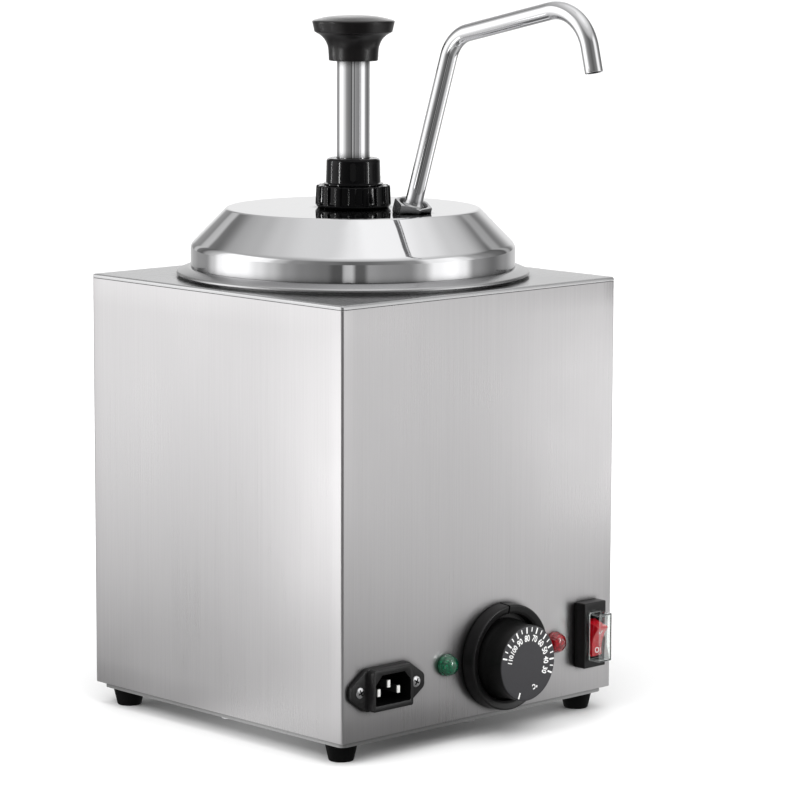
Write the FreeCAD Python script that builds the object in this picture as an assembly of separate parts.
import FreeCAD, Part
import math
import os
from FreeCAD import Vector

# Heated pump dispenser: a square sheet-steel casing holding a water well, a food pot under a
# domed lid, and a hand pump whose bent spout reaches over the front. One STEP file per piece.
# Frame (mm): origin on the resting plane under the middle of the casing, +Z up, controls and
# spout at the -Y side, +X to the right as seen from the controls.

os.makedirs("parts", exist_ok=True)

# ---------------------------------------------------------------- driving dimensions
foot_stand = 12.4          # table to the casing's lower edge
casing_w = 203.2           # casing width and depth
casing_h = 229.3
sheet = 0.8                # stainless sheet
corner_r = 1.6             # outside bend radius of the casing
cap_band = 2.2             # depth of the top cover's turned-down edge
base_drop = 2.9            # base tray below the casing's lower edge

well_r = 86.8              # outside of the water well
well_floor = 74.4          # underside of the water well
pot_r = 80.0               # outside of the food pot
rim_top = 5.5              # top of the pot's rim above the casing
lid_r = 89.0
lid_disc_z = 37.5          # lid's flat disc above the casing

neck_r = 14.9              # pump neck
plunger_r = 9.05
knob_bot = 117.5           # underside of the plunger knob above the casing
spout_r, spout_wall = 4.7, 0.8
lean = math.radians(18.33)                 # lean of the discharge line towards the front

# control positions: x, and z from the casing's lower edge
dial_x, dial_z = 15.0, 29.2
lamp_places = {"green": (-26.6, 31.4), "red": (55.9, 31.6)}
inlet_x, inlet_z = -71.2, 26.6
switch_x, switch_z = 81.2, 33.2
bung_y, bung_z = -94.5, 24.6               # bung in the right-hand side
dial_screw_x = (dial_x - 14, dial_x + 14)
inlet_screw_x = (inlet_x - 20, inlet_x + 20)

foot_places = [(x, y) for x in (-89.0, 89.0) for y in (-87.4, 87.4)]
base_screw_places = [(92.2, 0), (-92.2, 0), (0, 92.2), (0, -92.2)]

# levels and faces
case_bot = foot_stand
case_top = case_bot + casing_h
half = casing_w / 2.0
front = -half                              # face of the control panel
wall_top = case_top - cap_band - 0.1
base_bot = case_bot - base_drop
base_inside = base_bot + 1.0               # upper face of the base tray's floor
tab_w, tab_t = 3.1, 0.4                    # half width and half thickness of terminal tabs

ORIGIN = Vector(0, 0, 0)
UP = Vector(0, 0, 1)
FORWARD = (0, -1, 0)
PLANES = {"xy": lambda a, b, offset: Vector(a, b, offset),
          "xz": lambda a, b, offset: Vector(a, offset, b),
          "yz": lambda a, b, offset: Vector(offset, a, b)}
pieces = {}


def piece(build):
    """Register a function that builds the piece of its own name."""
    pieces[build.__name__] = build
    return build


# ---------------------------------------------------------------- outlines
# Outlines are lists of (a, b[, corner radius]).
def radius_of(point):
    return point[2] if len(point) > 2 else 0.0


def raised(points, level):
    return [(a, b + level, *rest) for a, b, *rest in points]


def bend(before, corner, after, radius, share):
    """Start, middle and end of the arc rounding a corner; it takes up to share of each leg."""
    back = before - corner
    ahead = after - corner
    longest = share * min(back.Length, ahead.Length)
    back.normalize()
    ahead.normalize()
    half_angle = math.acos(max(-1, min(1, back.dot(ahead)))) / 2
    setback = min(radius / math.tan(half_angle), longest)
    radius = setback * math.tan(half_angle)
    inward = back + ahead
    inward.normalize()
    centre = corner + inward * (radius / math.sin(half_angle))
    return corner + back * setback, centre - inward * radius, corner + ahead * setback


def rounded_wire(points, radii, closed=True, share=math.inf):
    count = len(points)
    corners = []
    for i, radius in enumerate(radii):
        if radius > 0:
            after = points[(i + 1) % count]
            corners.append(bend(points[i - 1], points[i], after, radius, share))
        else:
            corners.append((points[i], None, points[i]))
    edges = []
    for i, (start, middle, end) in enumerate(corners):
        if middle is not None:
            edges.append(Part.Arc(start, middle, end).toShape())
        following = corners[(i + 1) % count][0]
        if (closed or i < count - 1) and (following - end).Length > 1e-6:
            edges.append(Part.LineSegment(end, following).toShape())
    return Part.Wire(edges)


def outline(points, plane="xz", offset=0.0, closed=True):
    placed = [PLANES[plane](point[0], point[1], offset) for point in points]
    return rounded_wire(placed, [radius_of(point) for point in points], closed)


def face(points, plane="xz", offset=0.0):
    return Part.Face(outline(points, plane, offset))


def bent_sheet(line, thickness):
    """Profile of a bent sheet: an open line thickened to its right-hand side."""
    normals = []
    for start, end in zip(line, line[1:]):
        normal = Vector(end[1] - start[1], start[0] - end[0], 0)
        normal.normalize()
        normals.append(normal)
    normals = [normals[0]] + normals + [normals[-1]]
    other_side = []
    for i, point in enumerate(line):
        before, after = normals[i], normals[i + 1]
        shift = (before + after) * (thickness / (1 + before.dot(after)))
        radius = radius_of(point)
        if radius > 0:
            turns_left = before.x * after.y - before.y * after.x > 0
            radius = radius + thickness if turns_left else max(radius - thickness, 0.0)
        other_side.append((point[0] + shift.x, point[1] + shift.y, radius))
    return list(line) + other_side[::-1]


def rectangle(x0, y0, x1, y1, radius=0.0):
    return [(x0, y0, radius), (x1, y0, radius), (x1, y1, radius), (x0, y1, radius)]


def hexagon(flats, turn=0):
    reach = flats / math.sqrt(3)
    angles = [math.radians(60 * i + turn) for i in range(6)]
    return [(reach * math.cos(angle), reach * math.sin(angle)) for angle in angles]


# ---------------------------------------------------------------- solids
def as_solid(shape):
    return shape if shape.ShapeType == "Solid" else Part.Solid(shape)


def unwrap(shape):
    """The solid itself where a compound holds just one."""
    if shape.ShapeType == "Compound" and len(shape.Solids) == 1:
        return shape.Solids[0]
    return shape


def group(shapes):
    return Part.makeCompound([unwrap(shape) for shape in shapes])


def join(shapes):
    return shapes[0].fuse(shapes[1:]).removeSplitter()


def cut_all(shape, tools):
    for tool in tools:
        shape = shape.cut(tool)
    return shape


def cylinder(radius, height, base=(0, 0, 0), axis=(0, 0, 1)):
    return Part.makeCylinder(radius, height, Vector(*base), Vector(*axis))


def box(x0, y0, z0, x1, y1, z1):
    return Part.makeBox(x1 - x0, y1 - y0, z1 - z0, Vector(x0, y0, z0))


def slab(half_x, half_y, radius, z0, z1, x=0.0, y=0.0):
    """Upright block with rounded vertical edges."""
    points = rectangle(x - half_x, y - half_y, x + half_x, y + half_y, radius)
    return face(points, "xy", z0).extrude(Vector(0, 0, z1 - z0))


def square(half_side, radius, z0, z1):
    return slab(half_side, half_side, radius, z0, z1)


def spun(profile):
    """Revolve (r, z) about the Z axis."""
    return as_solid(face(profile).revolve(ORIGIN, UP, 360))


def turned(profile, level=0.0, x=0.0, y=0.0):
    """Upright turned part at x, y; the profile's heights are measured from level."""
    solid = spun(raised(profile, level))
    solid.translate(Vector(x, y, 0))
    return solid


def aim(shape, place, direction):
    """Move a shape made along +Z to place, pointing along direction."""
    rotation = FreeCAD.Rotation(UP, Vector(*direction))
    shape.Placement = FreeCAD.Placement(Vector(*place), rotation)
    return shape


def cross_slotted(body, length, width, z0, z1, turn):
    for angle in (0, 90):
        slot = box(-length / 2, -width / 2, z0, length / 2, width / 2, z1)
        slot.rotate(ORIGIN, UP, angle + turn)
        body = body.cut(slot)
    return body


def pan_screw(place, direction, head_r, head_h, shank_r, length):
    """Pan-head cross-slot screw: place is under the head, direction runs from tip to head."""
    body = spun([(0, -length), (shank_r * 0.55, -length), (shank_r, -length + shank_r),
                 (shank_r, 0), (head_r, 0), (head_r, head_h * 0.35),
                 (head_r * 0.8, head_h * 0.85, head_h * 0.6), (0, head_h)])
    body = cross_slotted(body, head_r * 1.15, head_r * 0.26, head_h * 0.38, head_h + 1, 20)
    return aim(body, place, direction)


def hex_nut(place, direction, flats, height, bore_r):
    body = face(hexagon(flats), "xy").extrude(Vector(0, 0, height))
    return aim(body.cut(cylinder(bore_r, height + 2, (0, 0, -1))), place, direction)


def swept(path, radius, frenet=False):
    """Round bar along an open wire."""
    first = path.OrderedEdges[0]
    tangent = first.tangentAt(first.FirstParameter)
    centre = first.valueAt(first.FirstParameter)
    section = Part.Wire([Part.Circle(centre, tangent, radius).toShape()])
    return as_solid(path.makePipeShell([section], True, frenet))


# Control panel: x, z run over the panel (z from the casing's lower edge), and distances
# near and far are counted forwards from its face.
def panel_prism(points, near, far, x=0.0, z=0.0):
    """Outline drawn about (x, z) on the panel, from near to far."""
    placed = [(a + x, b + z + case_bot, *rest) for a, b, *rest in points]
    return face(placed, "xz", front - near).extrude(Vector(0, near - far, 0))


def panel_rect(x0, z0, x1, z1, near, far, radius=0.0):
    return panel_prism(rectangle(x0, z0, x1, z1, radius), near, far)


def panel_disc(x, z, radius, near, far):
    return cylinder(radius, far - near, (x, front - near, case_bot + z), FORWARD)


def onto_panel(shape, x, z):
    """Turn a shape made along +Z to face forwards at (x, z)."""
    shape.rotate(ORIGIN, Vector(1, 0, 0), 90)
    shape.translate(Vector(x, front, case_bot + z))
    return shape


def panel_turned(profile, x, z):
    return onto_panel(spun(profile), x, z)


# ---------------------------------------------------------------- casing
base_half = 98.5           # half width of the inset base tray
foot_r_top, foot_r_bot = 8.6, 6.6
foot_seat = 4.0            # level of the screw head's seat inside a foot


def inlet_prism(half_w, below, above, low_r, high_r, near, far):
    """Block about the inlet's middle, with its own radii for lower and upper corners."""
    points = [(-half_w, -below, low_r), (half_w, -below, low_r),
              (half_w, above, high_r), (-half_w, above, high_r)]
    return panel_prism(points, near, far, inlet_x, inlet_z)


@piece
def casing_shell():
    outer = square(half, corner_r, case_bot, wall_top)
    inner = square(half - sheet, corner_r - sheet, case_bot + sheet, wall_top - sheet)
    openings = [
        square(half - 17, 4, case_bot - 1, case_bot + sheet + 1),       # inside the bottom lip
        square(half - 7, 3, wall_top - sheet - 1, wall_top + 1),        # inside the top lip
        box(-0.15, half - 0.3, case_bot, 0.15, half + 1, wall_top),     # closing seam, back
        panel_disc(dial_x, dial_z, 5.2, -2, 1)]
    openings += [panel_disc(x, dial_z, 2.1, -2, 1) for x in dial_screw_x]
    openings += [panel_disc(x, z, 4.2, -2, 1) for x, z in lamp_places.values()]
    openings.append(inlet_prism(13.3, 10.1, 10.1, 1, 4, -2, 1))
    openings += [panel_disc(x, inlet_z, 1.7, -2, 1) for x in inlet_screw_x]
    openings.append(panel_rect(switch_x - 6.6, switch_z - 15.2,
                               switch_x + 6.6, switch_z + 15.2, -2, 1))
    openings.append(cylinder(3.0, 4, (half - 2, bung_y, case_bot + bung_z), (1, 0, 0)))
    openings += [cylinder(2.1, 3, (x, y, case_bot - 1))
                 for x, y in foot_places + base_screw_places]
    return cut_all(outer.cut(inner), openings)


@piece
def top_plate():
    plate = square(half, corner_r, case_top - cap_band, case_top)
    upper_edges = [edge for edge in plate.Edges
                   if abs(edge.BoundBox.ZMin - case_top) < 1e-6
                   and abs(edge.BoundBox.ZMax - case_top) < 1e-6]
    plate = plate.makeFillet(1.2, upper_edges)
    inside = square(half - sheet, corner_r - sheet, case_top - cap_band - 1, case_top - sheet)
    return plate.cut(inside).cut(cylinder(well_r + 0.2, 5, (0, 0, case_top - 2)))


@piece
def base_plate():
    base = square(base_half, 4, base_bot, case_bot)
    base = base.cut(square(base_half - 1, 3, base_inside, case_bot + 1))
    places = foot_places + base_screw_places
    for x, y in places:
        base = base.fuse(cylinder(4.6, base_drop - 0.5, (x, y, base_bot + 0.5)))
    base = cut_all(base, [cylinder(2.1, 6, (x, y, base_bot - 1)) for x, y in places])
    cooling_slots = [slab(1.6, 14, 1.6, base_bot - 1, base_bot + 2, i * 12, y)
                     for i in range(-3, 4) for y in (-30, 30)]
    return cut_all(base, cooling_slots).removeSplitter()


@piece
def base_screws():
    return group([pan_screw((x, y, base_bot), (0, 0, -1), 3.6, 2.2, 2.05, 8)
                  for x, y in base_screw_places])


@piece
def rubber_feet():
    profile = [(2.2, base_bot), (2.2, foot_seat), (4.4, foot_seat), (4.4, 0),
               (foot_r_bot, 0, 0.9), (foot_r_top, base_bot - 0.8, 0.3), (foot_r_top, base_bot)]
    return group([turned(profile, 0, x, y) for x, y in foot_places])


@piece
def foot_screws():
    return group([pan_screw((x, y, foot_seat), (0, 0, -1), 4.0, 2.4, 2.0, 14.5)
                  for x, y in foot_places])


@piece
def foot_nuts():
    return group([hex_nut((x, y, case_bot + sheet), (0, 0, 1), 7.0, 3.2, 2.02)
                  for x, y in foot_places])


@piece
def side_bung():
    """Rubber bung in the small hole of the right-hand side."""
    bung = spun([(0, -2.6), (3.5, -2.6), (3.9, -1.4), (2.95, -sheet), (2.95, 0.0), (5.2, 0.0),
                 (5.1, 1.4, 1.2), (3.0, 4.4, 3.0), (0, 4.9)])
    bung.rotate(ORIGIN, Vector(0, 1, 0), 90)
    bung.translate(Vector(half, bung_y, case_bot + bung_z))
    return bung


# ---------------------------------------------------------------- water well and heating
element_r = 3.2            # heater tube
loop_r = 55.0              # heater loop in plan
loop_z = well_floor + 12.0
leg_angle = math.atan2(46, 30)
element_x = loop_r * math.cos(leg_angle)   # the heater's legs stand at +-element_x
element_y = loop_r * math.sin(leg_angle)
bulb_x, bulb_y = -66.0, 0.0


@piece
def well_support_ring():
    line = [(well_r, -14), (well_r, -sheet), (96.0, -sheet)]
    return turned(bent_sheet(line, sheet), case_top)


@piece
def insulation_jacket():
    inner_r, outer_r, z0, z1 = well_r + 0.3, 97.5, 84, case_top - 16
    return turned([(inner_r, z0), (outer_r, z0, 2), (outer_r, z1, 2), (inner_r, z1)])


@piece
def heating_element():
    """Tubular loop near the well's floor, its two legs going out through the floor."""
    ends = [Vector(x, element_y, loop_z) for x in (element_x, -element_x)]
    arc = Part.Arc(ends[0], Vector(0, -loop_r, loop_z), ends[1])
    parts = [swept(Part.Wire([arc.toShape()]), element_r)]
    leg_bot = well_floor - 16
    for end in ends:
        parts += [cylinder(element_r, loop_z + element_r - leg_bot, (end.x, end.y, leg_bot)),
                  Part.makeSphere(element_r, end),
                  box(end.x - tab_t, end.y - tab_w, well_floor - 23,
                      end.x + tab_t, end.y + tab_w, well_floor - 15.5)]
    return join(parts)


@piece
def water_well():
    # the well's lip carries the pot's rim
    line = [(0, well_floor), (well_r, well_floor, 7), (well_r, case_top + rim_top - sheet)]
    holes = [cylinder(4.6, 5, (x, element_y, well_floor - 2)) for x in (-element_x, element_x)]
    holes.append(cylinder(3.6, 5, (bulb_x, bulb_y, well_floor - 2)))
    return cut_all(turned(bent_sheet(line, -sheet)), holes)


@piece
def thermostat_bulb():
    """Bulb standing in the well, with a stub of its capillary below."""
    return join([cylinder(3.0, 16, (bulb_x, bulb_y, well_floor + 5.5)),
                 cylinder(1.0, 12, (bulb_x, bulb_y, well_floor - 6))])


@piece
def well_glands():
    leg_gland = [(element_r, -9), (4.55, -9), (4.55, sheet), (7.5, sheet),
                 (7.5, sheet + 3, 0.8), (element_r, sheet + 3)]
    bulb_gland = [(1.0, -6), (3.55, -6), (3.55, sheet), (6.5, sheet), (6.5, 4, 0.8), (1.0, 4)]
    glands = [turned(leg_gland, well_floor, x, element_y) for x in (-element_x, element_x)]
    return group(glands + [turned(bulb_gland, well_floor, bulb_x, bulb_y)])


@piece
def gland_nuts():
    nuts = [hex_nut((x, element_y, well_floor - 4.0), (0, 0, 1), 13.0, 4.0, 4.55)
            for x in (-element_x, element_x)]
    bulb_nut = hex_nut((bulb_x, bulb_y, well_floor - 3.2), (0, 0, 1), 11.0, 3.2, 3.55)
    return group(nuts + [bulb_nut])


@piece
def safety_cutout():
    """Cut-out under the well, with two terminal tabs."""
    body = join([cylinder(8.0, 5.0, (10, 20, well_floor - 5.0)),
                 box(-2.0, 12.5, well_floor - 12, 22, 27.5, well_floor - 5)])
    tabs = [box(x - tab_w, 20 - tab_t, well_floor - 19, x + tab_w, 20 + tab_t, well_floor - 12)
            for x in (3.0, 17.0)]
    return join([body] + tabs)


# ---------------------------------------------------------------- discharge line
# The line leans in the YZ plane; s runs along it from the floor of the lid's pocket.
pocket_z = 35.3            # pocket floor above the casing
line_y, line_z = -50.2, 50.2               # a point on the line, z above the casing
pocket = Vector(0, line_y + (line_z - pocket_z) * math.tan(lean), case_top + pocket_z)


def on_line(s):
    return pocket + Vector(0, -math.sin(lean), math.cos(lean)) * s


def lean_over(shape, s=0):
    """Set a shape made along +Z onto the line at s."""
    shape.rotate(ORIGIN, Vector(1, 0, 0), math.degrees(lean))
    shape.translate(on_line(s))
    return shape


def line_turned(profile):
    """Revolve (r, s) about the line."""
    return lean_over(spun(profile))


# ---------------------------------------------------------------- food pot and lid
pot_depth = 148.5
rim_r = 96.8               # rolled rim of the pot
lid_disc_r = 69.0
lid_band_bot, lid_band_top = 6.3, 17.3     # above the casing


@piece
def inner_pot():
    inner_r, floor_z = pot_r - sheet, rim_top - pot_depth + sheet
    line = [(0, floor_z), (inner_r, floor_z, 12), (inner_r, rim_top, 1.6),
            (90.6, rim_top, 5.0), (rim_r, 2.9, 1.4), (rim_r, 1.8)]
    return turned(bent_sheet(line, sheet), case_top)


@piece
def lid():
    line = [(15.0, lid_disc_z), (lid_disc_r + 0.3, lid_disc_z, 2.5),
            (lid_r, lid_band_top, 6.0), (lid_r, lid_band_bot)]
    shell = turned(bent_sheet(line, sheet), case_top)
    # pocket pressed into the disc so that the discharge stub can lean towards the front
    cup = line_turned([(0, -sheet), (11.4, -sheet, 0.6), (11.4, 30), (0, 30)])
    cup = cup.common(cylinder(60, 40, (0, 0, case_top + lid_disc_z - 40)))
    hollow = line_turned([(0, 0), (10.6, 0, 0.4), (10.6, 30), (0, 30)])
    stub_hole = line_turned([(0, -6), (7.6, -6), (7.6, 6), (0, 6)])
    return unwrap(shell.fuse(cup).cut(hollow).cut(stub_hole))


@piece
def lid_base_ring():
    """Ring under the lid, with a skirt that hangs just inside the pot."""
    skirt_r = pot_r - sheet - 1.4
    ring_z = rim_top + sheet
    line = [(lid_r, ring_z), (skirt_r, ring_z, 1.2), (skirt_r, -8)]
    return turned(bent_sheet(line, -sheet), case_top)


# ---------------------------------------------------------------- pump barrel and neck
barrel_depth = 124.0       # barrel's lower end below the casing top
barrel_bot = case_top - barrel_depth
barrel_r, barrel_bore = 17.5, 15.5
port_z = case_top - 106.0  # outlet port in the barrel
port_r = 3.0
port_y = -12               # where the port's drilling starts
gasket_bot = lid_disc_z - sheet - 0.8      # above the casing
collar_r_bot, collar_r_top, collar_top = 20.7, 20.2, 49.7
cap_top = 64.6             # neck cap above the casing


@piece
def pump_barrel():
    flange_bot = gasket_bot - 3.0
    barrel = turned([
        (barrel_bore, -barrel_depth), (barrel_r, -barrel_depth), (barrel_r, flange_bot, 0.8),
        (22.0, flange_bot, 0.5), (22.0, gasket_bot), (neck_r, gasket_bot), (neck_r, 48.5, 0.5),
        (12.6, 48.5, 0.4), (12.6, 30.0, 0.6), (barrel_bore, 28.0)], case_top)
    return barrel.cut(cylinder(port_r, 8, (0, port_y, port_z), FORWARD))


@piece
def pump_gasket():
    inner_r, outer_r, gasket_top = neck_r + 0.1, 21.5, lid_disc_z - sheet
    return turned([(inner_r, gasket_bot), (outer_r, gasket_bot), (outer_r, gasket_top),
                   (inner_r, gasket_top)], case_top)


@piece
def lock_collar():
    """Fluted collar round the neck."""
    bore, foot_z = neck_r + 0.05, lid_disc_z + 0.05
    collar = turned([
        (bore, foot_z), (collar_r_bot - 1.4, foot_z), (collar_r_bot, lid_disc_z + 1.8),
        (collar_r_top, collar_top - 0.9), (collar_r_top - 0.9, collar_top),
        (neck_r + 0.9, collar_top), (bore, collar_top - 0.9)], case_top)
    flute_z = case_top + lid_disc_z + 2.0
    for i in range(16):
        angle = math.radians(22.5 * i + 11.25)
        place = (21.3 * math.cos(angle), 21.3 * math.sin(angle), flute_z)
        collar = collar.cut(cylinder(1.7, 8.9, place))
    return collar


@piece
def neck_cap():
    """Cap in the neck, with a ledge over the collar and a key slot towards the front."""
    cap = turned([
        (10.8, 38.0), (12.6, 38.0), (12.6, 48.5), (13.2, 49.9), (16.3, 49.9), (16.3, 50.8, 0.3),
        (14.95, 51.2), (14.6, cap_top, 2.0), (9.5, cap_top, 0.5), (9.5, 61.0), (10.8, 60.9)],
        case_top)
    slot = join([box(-1.6, -20, case_top + 53.5, 1.6, -14.1, case_top + 61.0),
                 cylinder(1.6, 6, (0, -14.1, case_top + 61.0), FORWARD)])
    slot.rotate(ORIGIN, UP, -43.6)
    return cap.cut(slot)


@piece
def guide_bush():
    bore = plunger_r + 0.05
    return turned([(bore, 38.5), (10.8, 38.5), (10.8, 60.9), (bore, 60.9)], case_top)


# ---------------------------------------------------------------- foot valve
# conical seat, heights from the barrel's lower end
seat_low_r, seat_low_z = 4.6, -5.0
seat_high_r, seat_high_z = 7.4, -2.0
ball_r = 6.6
ball_lift = 3.0
seat_slope = math.atan2(seat_high_z - seat_low_z, seat_high_r - seat_low_r)
# the ball's centre is its radius plus a hair away from the seat's cone
ball_z = (barrel_bot + seat_low_z - seat_low_r * math.tan(seat_slope)
          + (ball_r + 0.03) / math.cos(seat_slope))


@piece
def foot_valve_body():
    return turned([
        (seat_low_r, -10), (16.0, -10, 1.0), (19.5, -6, 1.5), (19.5, 8, 0.6), (barrel_r, 8),
        (barrel_r, 0), (barrel_bore, 0), (barrel_bore, seat_high_z),
        (seat_high_r, seat_high_z), (seat_low_r, seat_low_z)], barrel_bot)


@piece
def foot_valve_ball():
    return Part.makeSphere(ball_r, Vector(0, 0, ball_z))


@piece
def ball_cage():
    foot_z = barrel_bot + seat_high_z
    stop_z = ball_z + ball_r + ball_lift + 0.2
    cage = turned([(8.0, foot_z), (11.4, foot_z), (11.4, stop_z + 1.4, 1.5),
                   (4.4, stop_z + 1.4), (4.4, stop_z), (8.0, stop_z, 0.4)])
    for i in range(4):                     # windows that let the food past the ball
        window = box(7.0, -3.2, barrel_bot + 0.4, 13.0, 3.2, stop_z - 1.6)
        window.rotate(ORIGIN, UP, 90 * i + 45)
        cage = cage.cut(window)
    return cage


# ---------------------------------------------------------------- riser and spout
riser_bend_z = case_top - 22.9             # where the upright riser starts to lean
riser_y = pocket.y + (pocket.z - riser_bend_z) * math.tan(lean)
outlet_seat_z = port_z + 5.0
riser_bot = outlet_seat_z + 9.0
spout_bore = spout_r - spout_wall
spout_foot_s = 4.62
# y, z above the casing, bend radius
spout_bends = [(-77.7, 133.3, 20.0), (-171.3, 153.7, 24.0), (-179.9, 118.4)]
nut_flats, nut_h = 18.0, 8.0


@piece
def outlet_elbow():
    reach = abs(riser_y) + port_y
    elbow = join([cylinder(7.0, 26.0, (0, riser_y, port_z - 7.5)),
                  cylinder(6.0, reach, (0, port_y, port_z), FORWARD)])
    return cut_all(elbow, [
        cylinder(barrel_r, 60, (0, 0, port_z - 30)),
        cylinder(port_r, reach, (0, port_y, port_z), FORWARD),
        cylinder(port_r, 5.0, (0, riser_y, port_z)),
        cylinder(4.6, 9.0, (0, riser_y, outlet_seat_z)),
        cylinder(spout_r, 10, (0, riser_y, riser_bot))])


@piece
def outlet_ball():
    """Ball resting on the edge of the elbow's bore."""
    radius = 4.1
    z = outlet_seat_z + math.sqrt(radius ** 2 - port_r ** 2) + 0.02
    return Part.makeSphere(radius, Vector(0, riser_y, z))


@piece
def riser_tube():
    end = on_line(-1.0)
    path = outline([(riser_y, riser_bot), (riser_y, riser_bend_z, 30.0), (end.y, end.z)],
                   "yz", closed=False)
    return swept(path, spout_r).cut(swept(path, spout_bore))


@piece
def spout_socket():
    flange_s = -sheet - 3.2
    socket = line_turned([
        (spout_r, -9.0), (6.4, -9.0, 0.4), (6.4, flange_s), (9.6, flange_s, 0.5),
        (9.6, -sheet), (7.5, -sheet), (7.5, 3.6, 0.4), (spout_bore, 3.6), (spout_bore, -1.0),
        (spout_r, -1.0)])
    return max(socket.cut(lid()).Solids, key=lambda solid: solid.Volume)


@piece
def spout_seal():
    return line_turned([(spout_bore, 3.6), (7.2, 3.6), (7.2, 4.6), (spout_bore, 4.6)])


@piece
def spout_nut():
    """Hexagonal union nut with bevelled corners."""
    edge_r, full_r = nut_flats / 2 + 0.7, nut_flats / 2 + 1.25
    nut = face(hexagon(nut_flats, 8), "xy").extrude(Vector(0, 0, nut_h))
    bevel = spun([(0, 0), (edge_r, 0), (full_r, 0.5), (full_r, nut_h - 0.5),
                  (edge_r, nut_h), (0, nut_h)])
    mouth = Part.makeCone(6.3, 8.0, 1.7, Vector(0, 0, nut_h - 1.7), UP)
    nut = cut_all(nut.common(bevel), [cylinder(7.55, 6.5), cylinder(6.3, 20, (0, 0, -1)), mouth])
    return lean_over(nut, 0.15)


@piece
def spout_tube():
    """One drawn tube with a flared foot under the nut."""
    start = on_line(spout_foot_s)
    path = outline([(start.y, start.z)] + raised(spout_bends, case_top), "yz", closed=False)
    flare = line_turned([(0, spout_foot_s), (7.35, spout_foot_s), (7.35, 6.45), (6.1, 6.6),
                         (6.0, 7.3), (5.2, 8.1), (spout_r + 0.12, 8.9), (0, 8.9)])
    return swept(path, spout_r).fuse(flare).cut(swept(path, spout_bore))


# ---------------------------------------------------------------- plunger
piston_bot = case_top - 48.0
tube_bot = 6.0             # plunger tube's lower end above the piston's underside
tube_bore = plunger_r - 1.0
socket_top = knob_bot + 8.5                # upper end of the plunger tube, in the knob
stud_r, stud_top = 4.0, knob_bot + 17.0
knob_r, knob_top = 22.5, 142.0


@piece
def plunger_tube():
    foot_z = piston_bot - case_top + tube_bot
    return turned([(tube_bore, foot_z), (plunger_r, foot_z), (plunger_r, socket_top),
                   (tube_bore, socket_top)], case_top)


@piece
def piston():
    return turned([
        (0, 0), (13.6, 0, 0.8), (15.2, 1.6), (15.2, 7.0), (13.0, 7.0), (13.0, 11.0),
        (15.2, 11.0), (15.2, 14.0, 0.6), (11.0, 18.0, 0.6), (plunger_r, 18.0),
        (plunger_r, tube_bot), (tube_bore, tube_bot), (tube_bore, 14.0), (0, 14.0)], piston_bot)


@piece
def piston_seal():
    return turned([(13.0, 7.0), (15.45, 7.0), (15.15, 9.0, 0.4), (15.45, 11.0), (13.0, 11.0)],
                  piston_bot)


def smooth(points):
    curve = Part.BSplineCurve()
    curve.interpolate(points)
    return curve.toShape()


@piece
def plunger_knob():
    """Mushroom knob: straight and smooth runs of (r, z above the casing) in turn."""
    stem = [(plunger_r, knob_bot), (13.2, knob_bot), (13.5, knob_bot + 0.3), (13.7, 123.0)]
    throat = [(13.7, 123.0), (14.0, 125.0), (14.7, 127.0), (16.0, 129.3), (18.2, 131.4),
              (20.8, 132.9)]
    rim = [(20.8, 132.9), (21.2, 133.2), (knob_r, 138.6), (22.1, 139.1)]
    crown = [(22.1, 139.1), (20.0, 139.9), (14.0, 141.2), (7.0, 141.85), (0.0, knob_top)]
    socket = [(0, knob_top), (0, stud_top), (stud_r, stud_top), (stud_r, socket_top),
              (plunger_r, socket_top), (plunger_r, knob_bot)]
    edges = []
    for run in (stem, throat, rim, crown, socket):
        points = [Vector(r, 0, case_top + z) for r, z in run]
        if run in (throat, crown):
            edges.append(smooth(points))
        else:
            edges += [Part.LineSegment(a, b).toShape() for a, b in zip(points, points[1:])]
    return as_solid(Part.Face(Part.Wire(edges)).revolve(ORIGIN, UP, 360))


@piece
def knob_stud():
    foot_z = knob_bot - 10
    return turned([(0, foot_z), (tube_bore, foot_z), (tube_bore, socket_top),
                   (stud_r, socket_top), (stud_r, stud_top), (0, stud_top)], case_top)


@piece
def pump_spring():
    """Return spring between the foot valve and the piston."""
    wire_r, coil_r, turns = 0.9, 13.2, 10
    spring_bot = barrel_bot + seat_high_z
    rise = piston_bot - spring_bot - 2 * wire_r - 0.2
    start_z = spring_bot + wire_r + 0.1
    steps = turns * 16
    points = []
    for i in range(steps + 1):
        angle = 2 * math.pi * turns * i / steps
        points.append(Vector(coil_r * math.cos(angle), coil_r * math.sin(angle),
                             start_z + rise * i / steps))
    return swept(Part.Wire([smooth(points)]), wire_r, frenet=True)


# ---------------------------------------------------------------- thermostat and its dial
bezel_z = 30.3             # the surround sits a little above the shaft
bezel_r, bezel_t = 29.2, 8.0
dial_r, dial_front = 20.6, 20.6


@piece
def dial_bezel():
    ring = panel_turned([
        (23.8, 1.2), (bezel_r - 0.4, 0.0), (bezel_r, 0.4), (bezel_r - 0.4, bezel_t - 0.6),
        (bezel_r - 0.9, bezel_t), (24.8, bezel_t - 0.8), (23.8, bezel_t - 1.6)],
        dial_x, bezel_z)
    floor = panel_turned([(5.0, 0.0), (bezel_r - 0.5, 0.0), (bezel_r - 0.5, 1.6), (5.0, 1.6)],
                         dial_x, bezel_z)
    # narrow groove across the ring's upper part
    groove = box(-0.6, 22.8, bezel_t - 2.2, 0.6, 31, bezel_t + 2)
    groove = groove.fuse(box(-0.6, 28.3, -1, 0.6, 31, bezel_t + 2))
    groove.rotate(ORIGIN, UP, 3.2)
    tools = [onto_panel(groove, dial_x, bezel_z)]
    tools += [panel_disc(x, dial_z, 3.8, -0.5, 2.5) for x in dial_screw_x]
    return cut_all(join([ring, floor]), tools)


@piece
def thermostat_screws():
    return group([pan_screw((x, front, case_bot + dial_z), FORWARD, 3.4, 1.5, 1.95, 5.6)
                  for x in dial_screw_x])


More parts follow.
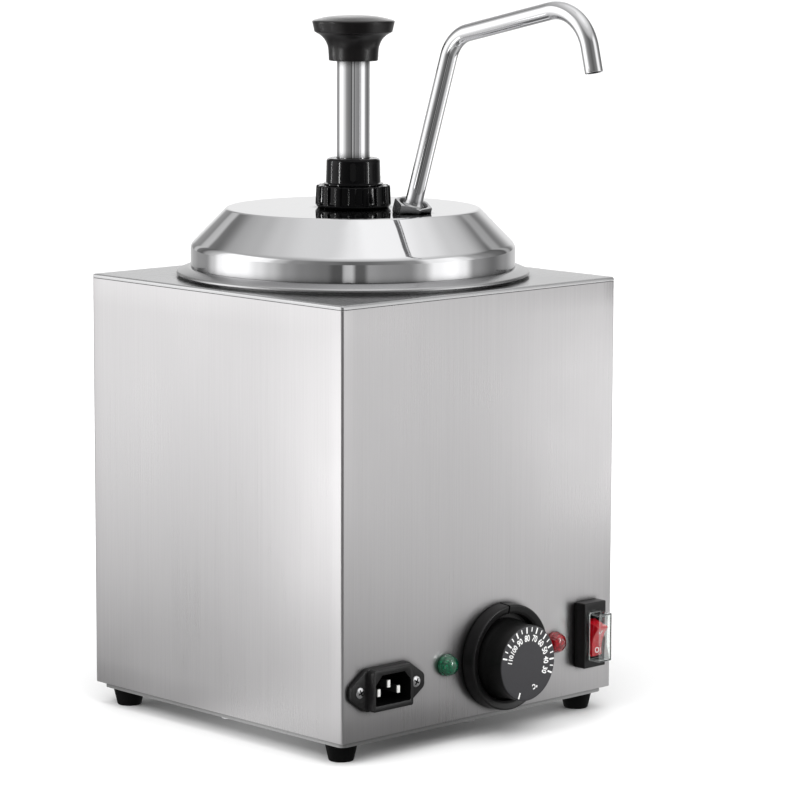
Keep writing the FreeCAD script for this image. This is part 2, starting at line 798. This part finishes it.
@piece
def thermostat_knob():
    knob = panel_turned([
        (0, 5.0), (3.0, 5.0), (3.0, 3.0), (9.0, 3.0), (9.0, 4.5), (19.6, 4.5), (19.6, 2.6),
        (22.2, 2.6), (22.0, 5.0), (20.9, 8.0, 6.0), (dial_r, 12.0), (dial_r, dial_front, 0.7),
        (0, dial_front)], dial_x, dial_z)
    return knob.cut(panel_disc(dial_x, dial_z, 3.0, 2.0, 14.0))


@piece
def thermostat_shaft():
    return panel_disc(dial_x, dial_z, 2.95, -12.0, 13.8)


@piece
def thermostat_body():
    """Box behind the panel, with a raised front pad and two terminal tabs at the back."""
    body, pad = [panel_rect(dial_x - 18, dial_z - half_h, dial_x + 18, dial_z + half_h,
                            near, far, 2)
                 for half_h, near, far in ((17, -22.8, -2.3), (9, -2.3, -0.8))]
    holes = [panel_disc(dial_x, dial_z, 3.0, -12.2, 0)]
    holes += [panel_disc(x, dial_z, 2.0, -7.0, 0) for x in dial_screw_x]
    tabs = [panel_rect(x - tab_t, dial_z - tab_w, x + tab_t, dial_z + tab_w, -30.0, -22.8)
            for x in (dial_x - 10, dial_x + 10)]
    return cut_all(join([body, pad]), holes).fuse(tabs)


# ---------------------------------------------------------------- indicator lamps
def lens(colour):
    return panel_turned([
        (0, -1.2), (3.9, -1.2), (3.9, 0.0), (5.9, 0.0), (5.9, 2.0), (5.6, 3.6), (4.6, 5.4, 1.8),
        (2.2, 6.6, 2.2), (0, 6.7)], *lamp_places[colour])


@piece
def green_lens():
    return lens("green")


@piece
def red_lens():
    return lens("red")


@piece
def lamp_bodies():
    profile = [(0, -24), (3.6, -24, 0.8), (3.6, -10), (4.1, -10), (4.1, -sheet), (3.9, -sheet),
               (3.9, -1.2), (0, -1.2)]
    return group([panel_turned(profile, x, z) for x, z in lamp_places.values()])


# ---------------------------------------------------------------- rocker switch
switch_w, switch_h = 16.8, 36.4
frame_t = 7.4              # frame in front of the panel
window_x0, window_x1 = switch_x - 4.2, switch_x + 4.2
pivot_y, pivot_z = front - 0.5, case_bot + switch_z - 0.6
rocker_tilt = 14.0         # half of the rocker's throw, degrees


def axle(radius, overhang):
    """Left-to-right bar on the pivot, longer than the window by overhang at each end."""
    return cylinder(radius, window_x1 - window_x0 + 2 * overhang,
                    (window_x0 - overhang, pivot_y, pivot_z), (1, 0, 0))


@piece
def switch_frame():
    flange = panel_rect(switch_x - switch_w / 2, switch_z - switch_h / 2,
                        switch_x + switch_w / 2, switch_z + switch_h / 2, 0, frame_t, 0.6)
    body = panel_rect(switch_x - 6.5, switch_z - 15.0, switch_x + 6.5, switch_z + 15.0, -20.0, 0)
    window = panel_rect(window_x0, switch_z - 13.2, window_x1, switch_z + 12.1,
                        -12.0, frame_t + 1)
    return flange.fuse(body).cut(window).cut(axle(1.56, 1.2))


@piece
def switch_rocker():
    """Paddle that rests with one end tipped out."""
    # distance in front of the panel, height from the pivot, corner radius
    profile = [(-3.0, -7.6, 0), (2.0, -9.6, 2.0), (11.9, -8.8, 1.0), (9.0, 0.0, 14.0),
               (11.9, 8.8, 1.0), (2.0, 9.6, 2.0), (-3.0, 7.6, 0)]
    points = [(front - out, pivot_z + z, radius) for out, z, radius in profile]
    width = window_x1 - window_x0 - 0.8
    rocker = face(points, "yz", window_x0 + 0.4).extrude(Vector(width, 0, 0))
    rocker.rotate(Vector(0, pivot_y, pivot_z), Vector(1, 0, 0), rocker_tilt)
    return rocker.fuse(axle(1.5, 1.0)).removeSplitter()


@piece
def switch_cover():
    """Clear splash box over the rocker."""
    x0, x1 = switch_x - 4.8, switch_x + 4.8
    z0, z1 = switch_z - 13.9, switch_z + 12.7
    wall, cover_front = 0.8, 15.4
    inside = panel_rect(x0 + wall, z0 + wall, x1 - wall, z1 - wall,
                        frame_t - 1, cover_front - wall)
    return panel_rect(x0, z0, x1, z1, frame_t, cover_front, 0.5).cut(inside)


@piece
def switch_terminals():
    return group([panel_rect(switch_x - tab_w, z - tab_t, switch_x + tab_w, z + tab_t,
                             -28.5, -20.0)
                  for z in (switch_z - 10, switch_z, switch_z + 10)])


# ---------------------------------------------------------------- mains inlet
def pin_solids():
    places = ((inlet_x, inlet_z + 2), (inlet_x - 7, inlet_z - 2), (inlet_x + 7, inlet_z - 2))
    return [panel_rect(x - 1.0, z - 2.0, x + 1.0, z + 2.0, -24.0, 3.4, 0.2) for x, z in places]


@piece
def inlet_housing():
    flange = panel_prism([
        (-26.4, -3.4, 3.4), (-26.4, 3.4, 3.4), (-15.0, 11.6, 3.0), (15.0, 11.6, 3.0),
        (26.4, 3.4, 3.4), (26.4, -3.4, 3.4), (15.0, -11.2, 3.0), (-15.0, -11.2, 3.0)],
        0, 2.8, inlet_x, inlet_z)
    shroud = inlet_prism(14.4, 10.9, 11.3, 1.2, 2.2, 0, 7.0)
    body = inlet_prism(13.2, 10.0, 10.0, 1, 4, -16.0, 0)
    cavity = panel_prism([
        (-12.7, -7.9, 0.8), (12.3, -7.9, 0.8), (12.3, 3.4, 0.8), (7.8, 8.2, 0.8),
        (-8.2, 8.2, 0.8), (-12.7, 3.4, 0.8)], -9.0, 9.0, inlet_x, inlet_z)
    tools = [cavity] + pin_solids()
    for x in inlet_screw_x:
        tools.append(panel_disc(x, inlet_z, 1.7, -1, 4))
        tools.append(panel_turned([(0, 1.6), (1.7, 1.6), (3.3, 3.2), (0, 3.2)], x, inlet_z))
    return cut_all(join([flange, shroud, body]), tools)


@piece
def inlet_pins():
    return group(pin_solids())


@piece
def inlet_screws():
    """Countersunk cross-slot screws."""
    head_r, shank_r, length = 3.1, 1.6, 10.0
    profile = [(0, -length), (shank_r * 0.6, -length), (shank_r, -length + 0.8),
               (shank_r, -1.6), (head_r, 0.0), (head_r * 0.9, 0.35), (0, 0.9)]
    return group([aim(cross_slotted(spun(profile), head_r * 1.2, head_r * 0.28, -0.9, 2, 30),
                      (x, front - 3.1, case_bot + inlet_z), FORWARD)
                  for x in inlet_screw_x])


@piece
def inlet_nuts():
    return group([hex_nut((x, front + sheet, case_bot + inlet_z), (0, 1, 0), 5.5, 2.4, 1.62)
                  for x in inlet_screw_x])


# ---------------------------------------------------------------- wiring under the well
terminal_places = [(-6 + 12 * i, 47, base_inside + 9) for i in range(4)]


@piece
def terminal_block():
    block = box(-12, 38, base_inside, 36, 56, base_inside + 15)
    return cut_all(block, [cylinder(3.0, 8, place) for place in terminal_places])


@piece
def terminal_screws():
    return group([cylinder(2.6, 4.0, place) for place in terminal_places])


@piece
def earth_stud():
    place = (-50, 60, base_inside)
    return join([hex_nut(place, (0, 0, 1), 7.0, 3.2, 1.0), cylinder(2.0, 10, place)])


def cable(points, bend_r=6.0):
    """Insulated lead through 3-D points, corners rounded."""
    radii = [0] + [bend_r] * (len(points) - 2) + [0]
    corners = [Vector(*point) for point in points]
    return swept(rounded_wire(corners, radii, closed=False, share=0.45), 1.2)


@piece
def wiring_leads():
    # where leads meet the tabs: depth behind the panel, and levels
    inlet_y, switch_y, dial_y = front + 24.6, front + 29.2, front + 30.8
    pin_z = case_bot + inlet_z
    rocker_z = case_bot + switch_z
    stat_z = case_bot + dial_z
    floor, tray = well_floor, base_inside
    left, right = inlet_x - 7, inlet_x + 7
    heater_x, heater_y = element_x, element_y
    return group([
        # inlet to terminal block
        cable([(left, inlet_y, pin_z - 2), (left, front + 34, pin_z - 2),
               (left, front + 34, tray + 9), (-24, 20, tray + 9), (-24, 44, tray + 5),
               (-13.4, 44, tray + 5)]),
        # inlet to switch
        cable([(right, inlet_y, pin_z - 2), (right, front + 40, pin_z - 2),
               (60, front + 40, pin_z + 8), (switch_x, front + 40, rocker_z - 10),
               (switch_x, switch_y, rocker_z - 10)]),
        # inlet to earth stud
        cable([(inlet_x, inlet_y, pin_z + 2), (inlet_x, front + 46, pin_z + 2),
               (-50, 20, tray + 8), (-50, 54.6, tray + 1.6)]),
        # switch to thermostat
        cable([(switch_x, switch_y, rocker_z), (switch_x, front + 48, rocker_z),
               (dial_x + 10, front + 48, stat_z), (dial_x + 10, dial_y, stat_z)]),
        # thermostat to the heater's left leg
        cable([(dial_x - 10, dial_y, stat_z), (dial_x - 10, -20, stat_z), (-20, 30, stat_z),
               (-heater_x, heater_y - 12, floor - 30), (-heater_x, heater_y, floor - 30),
               (-heater_x, heater_y, floor - 23.6)]),
        # the heater's right leg to safety cut-out
        cable([(heater_x, heater_y, floor - 23.6), (heater_x, heater_y, floor - 34),
               (22, 40, floor - 34), (17, 20, floor - 28), (17, 20, floor - 19.6)]),
        # safety cut-out to terminal block
        cable([(3, 20, floor - 19.6), (3, 20, floor - 30), (6, 30, tray + 22),
               (6, 33, tray + 8), (6, 36.4, tray + 8)], bend_r=3.0)])


for name, build in pieces.items():
    unwrap(build()).exportStep("parts/%s.step" % name)
